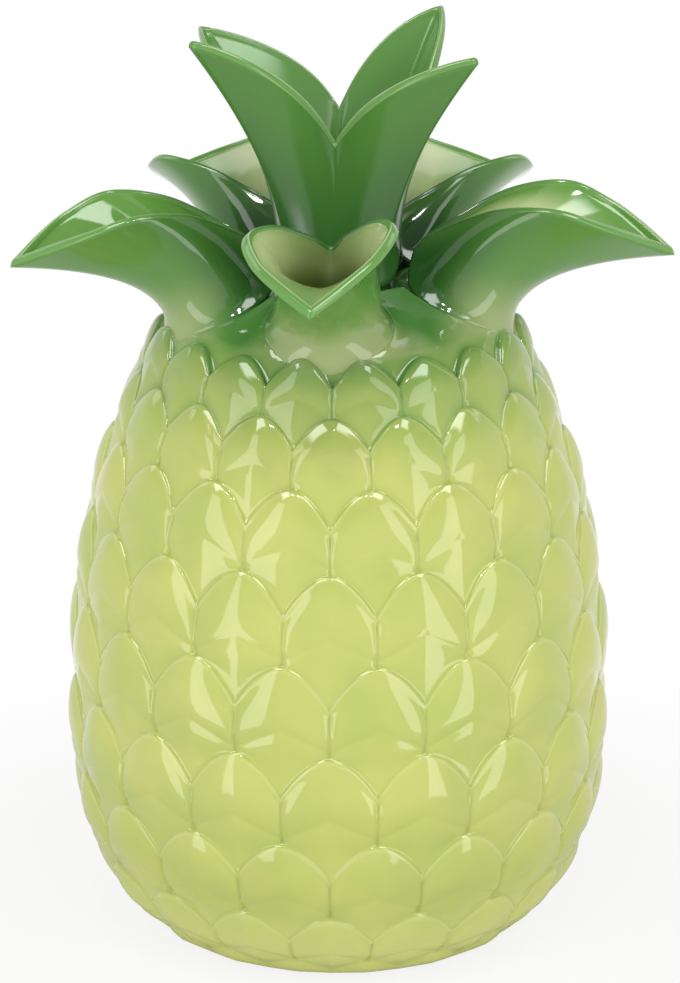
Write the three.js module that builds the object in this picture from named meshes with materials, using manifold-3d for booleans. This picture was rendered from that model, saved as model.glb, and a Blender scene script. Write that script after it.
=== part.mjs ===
// Pineapple vase of glazed earthenware: a hollow fruit closed by a deck, with five leaf spouts
// and a four-leaf crown luted to it.
// Millimetres, +Z up, -Y is the front. The origin is the middle of the foot, on the ground.
import * as THREE from 'three';
import { mergeVertices } from 'three/addons/utils/BufferGeometryUtils.js';
import Module from 'manifold-3d';

// Fruit body, measured in the valleys of its scales
const BELLY_RADIUS = 100.2;
const BELLY_HEIGHT = 85;
const SHOULDER_RADIUS = 59.7;
const SHOULDER_HEIGHT = 236; // where the scales end and the smooth deck starts
const UPPER_POWER = 2.2; // 2 is an ellipse from belly to shoulder, more is squarer
const FOOT_RADIUS = 66.5;
const LOWER_POWER = 2.6;
const BODY_WALL = 5;
const FLOOR_THICKNESS = 6;
const FOOT_BEVEL = 1.5; // round the flat foot that the vase stands on
const DECK_RISE = 14; // from the shoulder to the deck's middle
const DECK_POWER = 2.3;
const DECK_RIM = 1.9; // from the shoulder in to the joint between fruit and deck

// Scales: rows of overlapping pads, each row set half a pitch round from the next
const SCALES_PER_ROW = 18;
const FIRST_TIP_DROP = 1.8; // from the shoulder to the top row's tips
const LAST_TIP_HEIGHT = 9;
const ROW_PITCHES = [17.1, 23.3, 28.7, 32.7, 33.5, 33.9, 31.1, 24.9]; // top first, fitted to the body
const SCALE_TURN = -91.9; // azimuth of a tip in the second row, in degrees
const BULGE = 2.9; // how far the tallest scales stand out of their valleys
const BULGE_END = 1.1; // rows below a scale's tip, as the creases' places are
const BULGE_LEAN = 0.75; // 1 puts the bulge in the middle, less nearer to the tip
const BULGE_ROUND = 0.8; // less is blunter
const TOP_LIP = 2.4; // how much further the top row's tips stand out
const ARCH_RISE = 0.45; // share of a row's pitch
const LAST_ARCH_RISE = 0.2;
const ARCH_POWER = 1.9;
const PILLOW = 0.9; // a scale's rounded fall from its middle to its sides
const PILLOW_POWER = 1.6;
const GABLE = 0.8; // the straight fall from its ridge, which adds to that
const FALL_START = 3; // below the arch, where both are whole
const CREASE_START = 0.66; // of the crease across a scale, at its ridge
const CREASE_END = 0.93; // at its sides
const CREASE_DEPTH = 0.55;
const CREASE_WIDTH = 2.8;
const BASE_BULGE = 1.5; // below the last row's arches
const BASE_PILLOW = 0.9;

// Leaf spouts, spaced evenly and bent by hand: turned in degrees, lifted and drawn out
const FRONT = -90; // azimuth
const SPOUTS = [
  { name: 'spout_front', turn: -4.7, lift: 2.3, reach: 2.9 },
  { name: 'spout_right', turn: 8.9, lift: -0.2, reach: -1.3 },
  { name: 'spout_back_right', turn: 1, lift: -0.8, reach: 0 },
  { name: 'spout_back_left', turn: -1, lift: -0.3, reach: -3 },
  { name: 'spout_left', turn: -2.6, lift: -0.9, reach: -2.6 },
];
const SPOUT_WALL = 4.5;
const ROOT_OVERHANG = 3.3; // from the shoulder out to the outer edge of a spout's root
const ROOT_GAP = 3; // between a spout's root and the crown's
const ROOT_SPREAD = 0.87; // share of the room beside its nearest neighbour that a root takes
const NECK_WAIST = 1; // how much less deep than its root a neck is, on each side
const NECK_HALF_WIDTH = 14;
const NECK_RISE = 10.9; // above the deck below, as are the lip's heights
const NECK_TILT = 3;
const NECK_SIDE_WALL = 0.8; // share of the wall that the neck's sides keep
const TIP_OUT = 79.7; // from the middle of the neck
const TIP_RISE = 24.1;
const LOBE_OUT = 39;
const LOBE_HALF_WIDTH = 23.8;
const LOBE_RISE = 41.3;
const DIP_GAP = 10.4; // from the crown's tube out to the lip's lowest point
const DIP_RISE = 23.2;
const TIP_GROW = 0.5; // share of the wall that the tip's outer edge lies beyond its crest
const TIP_FILL = 1.3; // the same for its inner edge, where the two sides meet
const FLARE_OUT = 0.38; // share of the way out at which the neck turns into the leaf
const FLARE_UP = 0.62; // the same upwards, at the spout's sides
const FLARE_LEAN = 0.12; // more of it under the tip, less beside the crown

// Crown: a tube that opens into four leaves, the highest part of the vase. Each leaf is bent
// by hand too
const FIRST_LEAF = -45; // azimuth
const FRONT_LEAF_REACH = 66;
const BACK_RIGHT_REACH = 59;
const BACK_LEFT_REACH = 81.6;
const FRONT_RIGHT_RISE = 90.5; // above the middle of the deck, as are the others and the notch's
const BACK_RIGHT_RISE = 92.5;
const BACK_LEFT_RISE = 81.3;
const FRONT_LEFT_RISE = 95.6;
const LEAVES = [
  { turn: 2.2, reach: FRONT_LEAF_REACH, rise: FRONT_RIGHT_RISE },
  { turn: 3.8, reach: BACK_RIGHT_REACH, rise: BACK_RIGHT_RISE },
  { turn: -4.9, reach: BACK_LEFT_REACH, rise: BACK_LEFT_RISE },
  { turn: -6.9, reach: FRONT_LEAF_REACH, rise: FRONT_LEFT_RISE },
];
const CROWN_WALL = 4.5;
const CROWN_RADIUS = 22;
const NOTCH_FLARE = 8.2; // from the tube's radius out to a notch
const NOTCH_RISE = 57.2;
const LEAF_SWEEP = 1.6;
const LEAF_DROP = 1.3;
const TUBE_SHARE = 0.36; // share of the crown's height that its tube keeps straight
const KEEL_STRAIGHT = 0.03; // more of it along a leaf's keel than along a notch
const KEEL_SWELL = 1.5; // how much the tube bulges under a leaf's keel
const LEAF_SWELL = 0.35; // share of the way out at which the tube turns into a leaf
const KEEL_LEAN = 0.1; // more of it along the keel

// Assembly and facets
const SEAT_GAP = 0.3;
const PORT_LEDGE = 3; // how far a hole in the deck stays inside the bore above it
const LIP_ROUND = 1.6; // how far a lip's edges lie below its crest
const ROOT_SINK = 3; // a root's extra length before its seat is cut to the deck
const COLUMNS_PER_SCALE = 4;
const INNER_COLUMNS = 36;
const SPOUT_COLUMNS = 24;
const LEAF_COLUMNS = 10;
const SKIN_RINGS = 7;
const CAVITY_RINGS = 9;
const SEAT_RINGS = 6;
const PORT_COLUMNS = 24;
const DECK_RINGS = [0.75, 0.45, 0.15]; // shares of the deck's radius
const PAD_RINGS = [0, 0.08, 0.3, 0.7, 1]; // shares of a scale from its arch down to its crease
const SKIRT_RINGS = [0.22, 0.65]; // and from there to the arches of the next row

const wasm = await Module();
wasm.setup();

// Solid from a mesh whose shared vertices are merged
function toSolid(geometry) {
  const bare = geometry.clone();
  bare.deleteAttribute('normal');
  bare.deleteAttribute('uv');
  const merged = mergeVertices(bare, 1e-4);
  return new wasm.Manifold(new wasm.Mesh({
    numProp: 3,
    vertProperties: new Float32Array(merged.attributes.position.array),
    triVerts: new Uint32Array(merged.index.array),
  }));
}

function toGeometry(solid) {
  const mesh = solid.getMesh();
  const geometry = new THREE.BufferGeometry();
  geometry.setAttribute('position', new THREE.BufferAttribute(mesh.vertProperties, 3));
  geometry.setIndex(new THREE.BufferAttribute(mesh.triVerts, 1));
  return geometry;
}

// Faces between rings of equal length. The last ring joins the first, or both ends close on a point
function ringGeometry(rings, closeOnAxis) {
  const count = rings[0].length;
  const positions = rings.flat().flatMap((p) => [p.x, p.y, p.z]);
  const index = [];
  const spans = closeOnAxis ? rings.length - 1 : rings.length;
  for (let r = 0; r < spans; r += 1) {
    const below = r * count;
    const above = ((r + 1) % rings.length) * count;
    for (let c = 0; c < count; c += 1) {
      const next = (c + 1) % count;
      index.push(below + c, below + next, above + next);
      index.push(below + c, above + next, above + c);
    }
  }
  if (closeOnAxis) {
    for (const [ring, turn] of [[0, -1], [rings.length - 1, 1]]) {
      const centre = positions.length / 3;
      positions.push(0, 0, rings[ring][0].z);
      for (let c = 0; c < count; c += 1) {
        const pair = [ring * count + c, ring * count + ((c + 1) % count)];
        index.push(centre, ...(turn > 0 ? pair : pair.reverse()));
      }
    }
  }
  const geometry = new THREE.BufferGeometry();
  geometry.setAttribute('position', new THREE.Float32BufferAttribute(positions, 3));
  geometry.setIndex(index);
  return geometry;
}

function polar(radius, angle, z) {
  return new THREE.Vector3(radius * Math.cos(angle), radius * Math.sin(angle), z);
}

function bezier(a, b, c, d, t) {
  const s = 1 - t;
  return s * s * s * a + 3 * s * s * t * b + 3 * s * t * t * c + t * t * t * d;
}

function steps(count) {
  return Array.from({ length: count + 1 }, (_, k) => k / count);
}

// Height of a squared oval above its widest place, from one radius further up
function ovalSpan(height, radius, power) {
  return height / (1 - (radius / BELLY_RADIUS) ** power) ** (1 / power);
}

const UPPER_SPAN = ovalSpan(SHOULDER_HEIGHT - BELLY_HEIGHT, SHOULDER_RADIUS, UPPER_POWER);
const LOWER_SPAN = ovalSpan(BELLY_HEIGHT, FOOT_RADIUS, LOWER_POWER);
const DECK_TOP = SHOULDER_HEIGHT + DECK_RISE;

// Body: a squared oval below and above the belly, then the smooth deck
function bodyRadius(z) {
  const upper = z > BELLY_HEIGHT;
  const power = upper ? UPPER_POWER : LOWER_POWER;
  const share = Math.abs(z - BELLY_HEIGHT) / (upper ? UPPER_SPAN : LOWER_SPAN);
  return BELLY_RADIUS * (1 - share ** power) ** (1 / power);
}

function deckHeight(radius) {
  return DECK_TOP - DECK_RISE * (radius / SHOULDER_RADIUS) ** DECK_POWER;
}

function bodyNormal(z) {
  const slope = bodyRadius(z + 0.5) - bodyRadius(z - 0.5); // over one millimetre
  const length = Math.hypot(1, slope);
  return { out: 1 / length, up: -slope / length };
}

function tipHeights() {
  const heights = [SHOULDER_HEIGHT - FIRST_TIP_DROP];
  const total = ROW_PITCHES.reduce((sum, pitch) => sum + pitch);
  const scale = (heights[0] - LAST_TIP_HEIGHT) / total;
  for (const pitch of ROW_PITCHES) {
    heights.push(heights[heights.length - 1] - scale * pitch);
  }
  return heights;
}

const TIP_HEIGHTS = tipHeights();
const TALLEST_PITCH = Math.max(...ROW_PITCHES);

// Height of a place between rows: 0 is the top row's tips, 1 the next row's
function rowHeight(row) {
  const last = TIP_HEIGHTS.length - 1;
  const k = Math.min(Math.max(Math.floor(row), 0), last - 1);
  return TIP_HEIGHTS[k] + (row - k) * (TIP_HEIGHTS[k + 1] - TIP_HEIGHTS[k]);
}

function rowPitch(row) {
  return rowHeight(row) - rowHeight(row + 1);
}

// Distance round from a row's nearest tip: 0 at a tip, 1 midway between two
function fromTip(row, angle) {
  const pitch = (2 * Math.PI) / SCALES_PER_ROW;
  const shift = row % 2 ? 0 : 0.5;
  const place = (angle - THREE.MathUtils.degToRad(SCALE_TURN)) / pitch - shift;
  return 2 * Math.abs(place - Math.round(place));
}

function archRow(row, angle) {
  const rise = row === TIP_HEIGHTS.length - 1 ? LAST_ARCH_RISE : ARCH_RISE;
  return row + rise * fromTip(row, angle) ** ARCH_POWER;
}

// Place of a scale's crease, which runs down from its ridge to its sides
function creaseRow(row, angle) {
  return row + CREASE_START + (CREASE_END - CREASE_START) * fromTip(row, angle);
}

// Relief of one scale at a place below its arch, in millimetres above the valleys
function scaleRelief(row, place, angle) {
  const side = fromTip(row, angle);
  const top = archRow(row, angle);
  const pitch = rowPitch(row);
  const below = (place - top) * pitch;
  const share = Math.min((place - top) / (row + BULGE_END - top), 1);
  const dome = Math.max(Math.sin(Math.PI * share ** BULGE_LEAN), 0) ** BULGE_ROUND;
  const bulge = BULGE * Math.sqrt(pitch / TALLEST_PITCH) * dome;
  const lip = row === 0 ? TOP_LIP * (1 - Math.exp(-below)) * Math.exp(-below / pitch) : 0;
  const past = (place - creaseRow(row, angle)) * pitch;
  const crease = CREASE_DEPTH * Math.exp(-((past / CREASE_WIDTH) ** 2));
  const fall = PILLOW * side ** PILLOW_POWER + GABLE * side + crease;
  return bulge + lip - fall * Math.min(below / FALL_START, 1);
}

// Places down a scale where its rings of vertices run
function scalePlaces(row, angle) {
  const top = archRow(row, angle);
  const crease = creaseRow(row, angle);
  const lower = archRow(row + 1, angle);
  return [
    ...PAD_RINGS.map((share) => top + share * (crease - top)),
    ...SKIRT_RINGS.map((share) => crease + share * (lower - crease)),
  ];
}

function bodySurface(angle, z, relief) {
  const normal = bodyNormal(z);
  return polar(bodyRadius(z) + relief * normal.out, angle, z + relief * normal.up);
}

function makeBodyOuter() {
  const columns = SCALES_PER_ROW * COLUMNS_PER_SCALE;
  const offset = THREE.MathUtils.degToRad(SCALE_TURN);
  const angles = Array.from({ length: columns }, (_, c) => offset + (c / columns) * 2 * Math.PI);
  const rings = [];
  for (const share of DECK_RINGS.toReversed()) {
    const radius = SHOULDER_RADIUS * share;
    rings.push(angles.map((a) => polar(radius, a, deckHeight(radius))));
  }
  rings.push(angles.map((a) => polar(SHOULDER_RADIUS, a, SHOULDER_HEIGHT)));
  const lastRow = TIP_HEIGHTS.length - 1;
  for (let row = 0; row < lastRow; row += 1) {
    for (let k = 0; k < PAD_RINGS.length + SKIRT_RINGS.length; k += 1) {
      rings.push(angles.map((a) => {
        const place = scalePlaces(row, a)[k];
        return bodySurface(a, rowHeight(place), scaleRelief(row, place, a));
      }));
    }
  }
  for (const share of [0, 0.5]) {
    rings.push(angles.map((a) => {
      const z = rowHeight(archRow(lastRow, a)) * (1 - share) + FOOT_BEVEL * share;
      return bodySurface(a, z, share > 0 ? BASE_BULGE - BASE_PILLOW * fromTip(lastRow, a) : 0);
    }));
  }
  rings.push(angles.map((a) => polar(bodyRadius(FOOT_BEVEL), a, FOOT_BEVEL)));
  rings.push(angles.map((a) => polar(FOOT_RADIUS - FOOT_BEVEL, a, 0)));
  return ringGeometry(rings.reverse(), true);
}

// Solid of revolution whose profile runs upwards, with flat ends
function revolve(profile, columns) {
  const points = [[0, profile[0][1]], ...profile, [0, profile[profile.length - 1][1]]];
  const geometry = new THREE.LatheGeometry(points.map(([r, z]) => new THREE.Vector2(r, z)), columns);
  geometry.rotateX(Math.PI / 2);
  geometry.rotateZ(THREE.MathUtils.degToRad(SCALE_TURN));
  return toSolid(geometry);
}

function port(x, y, radius) {
  const height = DECK_RISE * 4;
  const cylinder = new THREE.CylinderGeometry(radius, radius, height, PORT_COLUMNS);
  cylinder.rotateX(Math.PI / 2);
  cylinder.translate(x, y, DECK_TOP);
  return toSolid(cylinder);
}

// Azimuth of the spout or leaf at a place in its ring, in radians
function azimuth(ring, first, k) {
  return THREE.MathUtils.degToRad(first + (360 / ring.length) * k + ring[k % ring.length].turn);
}

const spoutAzimuths = SPOUTS.map((spout, k) => azimuth(SPOUTS, FRONT, k));
const spoutTurns = SPOUTS.map((spout, k) => azimuth(SPOUTS, FRONT, k + 1) - spoutAzimuths[k]);
const rootInner = CROWN_RADIUS + ROOT_GAP;
const rootOuter = SHOULDER_RADIUS + ROOT_OVERHANG;
const neckCentre = (rootInner + rootOuter) / 2; // distance from the vase's axis
const neckBase = deckHeight(neckCentre);
const rootDepth = (rootOuter - rootInner) / 2; // half size along the spout's own radius
const rootHalfWidth = ROOT_SPREAD * neckCentre * Math.tan(Math.min(...spoutTurns) / 2);
const spoutBore = rootDepth - SPOUT_WALL;
const crownBore = CROWN_RADIUS - CROWN_WALL;

// Hollow fruit and deck together, before the joint between them is cut
function makeHollow() {
  const cavity = steps(CAVITY_RINGS).map((k) => {
    const z = FLOOR_THICKNESS + k * (SHOULDER_HEIGHT - BODY_WALL - FLOOR_THICKNESS);
    return [bodyRadius(z) - BODY_WALL, z];
  });
  const ceiling = cavity[cavity.length - 1][0];
  for (const share of DECK_RINGS) {
    cavity.push([ceiling * share, deckHeight(SHOULDER_RADIUS * share) - BODY_WALL]);
  }
  let solid = toSolid(makeBodyOuter());
  solid = solid.subtract(revolve(cavity, INNER_COLUMNS));
  solid = solid.subtract(port(0, 0, crownBore - PORT_LEDGE));
  for (const angle of spoutAzimuths) {
    const centre = polar(neckCentre, angle, 0);
    solid = solid.subtract(port(centre.x, centre.y, spoutBore - PORT_LEDGE));
  }
  return solid;
}

// Cylinder that parts the deck from the fruit, from inside the cavity to above the deck
function jointTool(grow) {
  const radius = SHOULDER_RADIUS - DECK_RIM + grow;
  return revolve([[radius, SHOULDER_HEIGHT / 2], [radius, DECK_TOP + DECK_RISE]], INNER_COLUMNS);
}

// What a root must stay clear of: the scale tips and the deck, with the seat's gap
function makeSeatTool() {
  const profile = [];
  const start = TIP_HEIGHTS[1];
  for (const share of steps(SEAT_RINGS)) {
    const z = start + share * (SHOULDER_HEIGHT - start);
    const normal = bodyNormal(z);
    const grow = BULGE + TOP_LIP + SEAT_GAP;
    profile.push([bodyRadius(z) + grow * normal.out, z + grow * normal.up]);
  }
  for (const share of DECK_RINGS) {
    profile.push([SHOULDER_RADIUS * share, deckHeight(SHOULDER_RADIUS * share) + SEAT_GAP]);
  }
  return revolve(profile, SCALES_PER_ROW * COLUMNS_PER_SCALE);
}

// A spout's lip: half of the leaf as [share of the way, share of the width, share of the drop]
const LIP_FROM_TIP = [[1, 0, 1], [0.72, 0.46, 0.64], [0.42, 0.82, 0.32], [0, 1, 0]];
const LIP_TO_DIP = [[0.42, 0.715, 0.13], [0.8, 0.24, 0.65], [1, 0, 1]];
const tipReach = neckCentre + TIP_OUT;
const lobeReach = neckCentre + LOBE_OUT;
const dipReach = CROWN_RADIUS + DIP_GAP;
const lipCurve = new THREE.CatmullRomCurve3([
  ...LIP_FROM_TIP.map(([along, wide, drop]) => new THREE.Vector3(
    lobeReach + along * (tipReach - lobeReach),
    wide * LOBE_HALF_WIDTH,
    neckBase + LOBE_RISE - drop * (LOBE_RISE - TIP_RISE),
  )),
  ...LIP_TO_DIP.map(([along, wide, drop]) => new THREE.Vector3(
    lobeReach + along * (dipReach - lobeReach),
    wide * LOBE_HALF_WIDTH,
    neckBase + LOBE_RISE - drop * (LOBE_RISE - DIP_RISE),
  )),
], false, 'catmullrom');

// Point of the lip at an angle round the spout, grown or shrunk sideways and lowered
function lipPoint(spout, angle, grow, lower) {
  const half = angle <= Math.PI ? angle / Math.PI : 2 - angle / Math.PI;
  const point = lipCurve.getPoint(half);
  const middle = (tipReach + dipReach) / 2;
  const length = (tipReach - dipReach) / 2;
  const lengthen = grow * (grow > 0 ? TIP_GROW : TIP_FILL);
  point.x = middle + (point.x - middle) * (1 + lengthen / length) + spout.reach;
  point.y *= (1 + grow / LOBE_HALF_WIDTH) * (angle <= Math.PI ? 1 : -1);
  point.z += spout.lift - lower;
  return point;
}

// Point of a spout's skin at an angle round it and a share of its height. The inner skin is
// the outer one drawn in by the wall, and raised by it below the leaf
function spoutPoint(spout, inner, angle, share) {
  const wall = inner ? SPOUT_WALL : 0;
  const side = Math.sin(angle);
  const front = Math.cos(angle);
  const lip = lipPoint(spout, angle, (inner ? -1 : 1) * (SPOUT_WALL / 2), LIP_ROUND);
  const root = new THREE.Vector3(
    neckCentre + (inner ? spoutBore : rootDepth) * front,
    (inner ? spoutBore : rootHalfWidth) * side,
    0,
  );
  root.z = deckHeight(root.length()) - ROOT_SINK;
  const neck = new THREE.Vector3(
    neckCentre + (rootDepth - NECK_WAIST - wall) * front,
    (NECK_HALF_WIDTH - wall * NECK_SIDE_WALL) * side,
    neckBase + NECK_RISE - NECK_TILT * front,
  );
  const rise = FLARE_UP + FLARE_LEAN * front;
  const flare = new THREE.Vector3(
    neck.x + FLARE_OUT * (lip.x - neck.x),
    neck.y + FLARE_OUT * (lip.y - neck.y),
    neck.z + rise * (lip.z - neck.z) + wall * Math.max(front, 0),
  );
  return new THREE.Vector3(
    bezier(root.x, neck.x, flare.x, lip.x, share),
    bezier(root.y, neck.y, flare.y, lip.y, share),
    bezier(root.z, neck.z, flare.z, lip.z, share),
  );
}

function makeSpout(spout, turn, seat) {
  const angles = Array.from({ length: SPOUT_COLUMNS }, (_, c) => (c / SPOUT_COLUMNS) * 2 * Math.PI);
  const rings = [];
  for (const share of steps(SKIN_RINGS)) {
    rings.push(angles.map((a) => spoutPoint(spout, false, a, share)));
  }
  rings.push(angles.map((a) => lipPoint(spout, a, 0, 0)));
  for (const share of steps(SKIN_RINGS).reverse()) {
    rings.push(angles.map((a) => spoutPoint(spout, true, a, share)));
  }
  const geometry = ringGeometry(rings, false);
  geometry.rotateZ(turn);
  return toGeometry(toSolid(geometry).subtract(seat));
}

// Crown: a leaf sweeps from its keel, where it reaches highest and widest, to the notch that
// it shares with its neighbour. The tube's own radius is kept at the deck
function crownLip(leaf, away, offset, lower) {
  const sweep = (1 - away) ** LEAF_SWEEP;
  const notch = CROWN_RADIUS + NOTCH_FLARE + offset;
  const tip = leaf.reach + offset * (offset > 0 ? TIP_GROW : TIP_FILL);
  return {
    radius: notch + (tip - notch) * sweep,
    height: DECK_TOP + leaf.rise - (leaf.rise - NOTCH_RISE) * away ** LEAF_DROP - lower,
  };
}

function crownPoint(place, inner, share) {
  const { leaf, away, angle } = place;
  const wall = inner ? CROWN_WALL : 0;
  const lip = crownLip(leaf, away, (inner ? -1 : 1) * (CROWN_WALL / 2), LIP_ROUND);
  const keel = 0.5 + 0.5 * Math.cos(Math.PI * away); // 1 on the keel, 0 at the notch
  const radius = CROWN_RADIUS - wall;
  const bottom = DECK_TOP - ROOT_SINK;
  const waist = bottom + (TUBE_SHARE + KEEL_STRAIGHT * keel) * (leaf.rise + ROOT_SINK);
  const bulge = radius + KEEL_SWELL * keel;
  const swell = radius + (lip.radius - radius) * (LEAF_SWELL + KEEL_LEAN * keel);
  return polar(
    bezier(radius, bulge, swell, lip.radius, share),
    angle,
    bezier(bottom, waist, (waist + lip.height) / 2, lip.height, share),
  );
}

function makeCrown(seat) {
  const count = LEAVES.length;
  const lastTurn = azimuth(LEAVES, FIRST_LEAF, count) - azimuth(LEAVES, FIRST_LEAF, count - 1);
  const places = [];
  LEAVES.forEach((leaf, k) => {
    const keel = azimuth(LEAVES, FIRST_LEAF, k);
    const after = azimuth(LEAVES, FIRST_LEAF, k + 1) - keel;
    const before = k > 0 ? keel - azimuth(LEAVES, FIRST_LEAF, k - 1) : lastTurn;
    for (let c = 0; c < LEAF_COLUMNS; c += 1) {
      const away = -1 + (2 * c) / LEAF_COLUMNS;
      const angle = keel + away * (away < 0 ? before : after) / 2;
      places.push({ leaf, away: Math.abs(away), angle });
    }
  });
  const rings = [];
  for (const share of steps(SKIN_RINGS + 1)) {
    rings.push(places.map((place) => crownPoint(place, false, share)));
  }
  rings.push(places.map(({ leaf, away, angle }) => {
    const crest = crownLip(leaf, away, 0, 0);
    return polar(crest.radius, angle, crest.height);
  }));
  for (const share of steps(SKIN_RINGS + 1).reverse()) {
    rings.push(places.map((place) => crownPoint(place, true, share)));
  }
  return toGeometry(toSolid(ringGeometry(rings, false)).subtract(seat));
}

function glaze(colour) {
  return new THREE.MeshStandardMaterial({ color: colour, roughness: 0.12, metalness: 0 });
}

function named(name, geometry, material) {
  const mesh = new THREE.Mesh(geometry, material);
  mesh.name = name;
  return mesh;
}

const vase = new THREE.Group();
const seat = makeSeatTool();
const hollow = makeHollow();
const fruitGlaze = glaze('#c9d46e');
const leafGlaze = glaze('#5f9a40');
vase.add(named('fruit_body', toGeometry(hollow.subtract(jointTool(SEAT_GAP / 2))), fruitGlaze));
vase.add(named('deck', toGeometry(hollow.intersect(jointTool(-SEAT_GAP / 2))), leafGlaze));
SPOUTS.forEach((spout, k) => {
  vase.add(named(spout.name, makeSpout(spout, spoutAzimuths[k], seat), leafGlaze));
});
vase.add(named('leaf_crown', makeCrown(seat), glaze('#4c8a38')));

export default vase;
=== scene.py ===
from math import cos, exp, hypot, log, pi, radians, sin, sqrt, tau

import bmesh
import bpy
from mathutils import Matrix, Vector
from mathutils.bvhtree import BVHTree


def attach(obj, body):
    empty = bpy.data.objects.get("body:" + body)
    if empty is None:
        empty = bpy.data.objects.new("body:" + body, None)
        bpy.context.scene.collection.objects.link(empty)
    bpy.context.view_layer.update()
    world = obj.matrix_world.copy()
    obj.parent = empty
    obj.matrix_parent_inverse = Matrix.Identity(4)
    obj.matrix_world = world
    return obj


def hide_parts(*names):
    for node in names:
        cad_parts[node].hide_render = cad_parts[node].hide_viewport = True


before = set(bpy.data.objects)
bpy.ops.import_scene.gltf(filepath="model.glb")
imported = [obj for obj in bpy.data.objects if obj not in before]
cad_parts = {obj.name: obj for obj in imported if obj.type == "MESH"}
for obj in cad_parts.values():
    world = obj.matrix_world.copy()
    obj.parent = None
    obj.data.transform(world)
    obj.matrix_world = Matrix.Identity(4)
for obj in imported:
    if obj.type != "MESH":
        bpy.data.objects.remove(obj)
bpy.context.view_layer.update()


# Camera: a long lens on a tripod in front of the vase and a little above it, aimed at the
# middle of the vase's height. The picture is 680 pixels wide and 983 high.
MM = 0.001
PICTURE_HEIGHT = 983
AXIS_TO_LEFT = 1.5  # pixels from the middle of the picture to the vase's axis
CAMERA_DISTANCE = 1400
CAMERA_PITCH = radians(18)
CAMERA_LENS = 136.74
AIM_HEIGHT = 166.8

camera_data = bpy.data.cameras.new("camera")
camera_data.lens = CAMERA_LENS
camera_data.shift_x = AXIS_TO_LEFT / PICTURE_HEIGHT
camera = bpy.data.objects.new("camera", camera_data)
bpy.context.scene.collection.objects.link(camera)
bpy.context.scene.camera = camera
camera.location = (
    0,
    -CAMERA_DISTANCE * cos(CAMERA_PITCH) * MM,
    (AIM_HEIGHT + CAMERA_DISTANCE * sin(CAMERA_PITCH)) * MM,
)
camera.rotation_euler = (pi / 2 - CAMERA_PITCH, 0, 0)
bpy.context.scene.view_settings.view_transform = "Standard"


# Studio: a white room with a darker ceiling, two bright panels overhead at its sides and two
# paler ones behind. Ceiling and panels show only in the glaze. All else gets a plain even light.
ROOM_LIGHT = 0.5
CEILING_SHOWN = 0.35
CEILING_EDGE = (0.3, 0.6)  # how steeply up the walls end and the ceiling begins
PANELS = (  # brightness, then the range of its directions aside, to the back and up
    (9.5, (0.2, 0.6), (-0.5, 0), (0.58, 1.1)),
    (2.4, (0.42, 0.92), (0.18, 0.65), (0.4, 0.82)),
)
PANEL_EDGE = 0.06


def linear(colour):
    """Linear red, green, blue and alpha of an sRGB hex colour."""
    parts = [int(colour[k : k + 2], 16) / 255 for k in (1, 3, 5)]
    return [p / 12.92 if p <= 0.04045 else ((p + 0.055) / 1.055) ** 2.4 for p in parts] + [1]


def add(tree, kind, inputs=None, **settings):
    """A new node with its settings, its inputs set to a value or linked to a socket."""
    item = tree.nodes.new(kind)
    for name, value in settings.items():
        setattr(item, name, value)
    for key, value in (inputs or {}).items():
        if isinstance(value, bpy.types.NodeSocket):
            tree.links.new(value, item.inputs[key])
        else:
            item.inputs[key].default_value = value
    return item


room = bpy.data.worlds.new("white room")
bpy.context.scene.world = room
room.use_nodes = True
tree = room.node_tree
tree.nodes.clear()
direction = add(tree, "ShaderNodeTexCoord")
axes = add(tree, "ShaderNodeSeparateXYZ", {0: direction.outputs["Generated"]})
up = axes.outputs["Z"]
aside = add(tree, "ShaderNodeMath", {0: axes.outputs["X"]}, operation="ABSOLUTE").outputs[0]
low, high = CEILING_EDGE
walls = add(tree, "ShaderNodeMapRange", {"Value": up, 1: low, 2: high, 3: 1, 4: CEILING_SHOWN})
for brightness, *ranges in PANELS:
    panel = 1
    for way, (low, high) in zip((aside, axes.outputs["Y"], up), ranges):
        for outside, inside in ((low, low + PANEL_EDGE), (high, high - PANEL_EDGE)):
            edge = add(tree, "ShaderNodeMapRange", {"Value": way, 1: outside, 2: inside}).outputs[0]
            within = add(tree, "ShaderNodeMath", {0: panel, 1: edge}, operation="MULTIPLY")
            panel = within.outputs[0]
    sides = {0: panel, 2: walls.outputs[0], 3: brightness}
    walls = add(tree, "ShaderNodeMix", sides, data_type="FLOAT")
rays = add(tree, "ShaderNodeLightPath")
shown = rays.outputs["Is Camera Ray"]
for kind in ("Is Glossy Ray", "Is Transmission Ray"):
    either = add(tree, "ShaderNodeMath", {0: shown, 1: rays.outputs[kind]}, operation="MAXIMUM")
    shown = either.outputs[0]
sides = {0: shown, 2: ROOM_LIGHT, 3: walls.outputs[0]}
strength = add(tree, "ShaderNodeMix", sides, data_type="FLOAT").outputs[0]
background = add(tree, "ShaderNodeBackground", {"Color": linear("#ffffff"), "Strength": strength})
add(tree, "ShaderNodeOutputWorld", {"Surface": background.outputs[0]})


# Lamps: a tall softbox at each side of the camera and two small spots high above the front.
# The softboxes leave broad pale patches on the glaze, the spots small bright ones.
LAMPS = (  # in metres and watts: kind, place of the right one, height aimed at, size, power
    ("softbox", (0.88, -0.84, 0.25), 0.25, (0.4, 1.7), 6),
    ("spot", (0.16, -0.75, 1.5), 0.2, (0.09, 0.09), 2.2),
)

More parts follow.
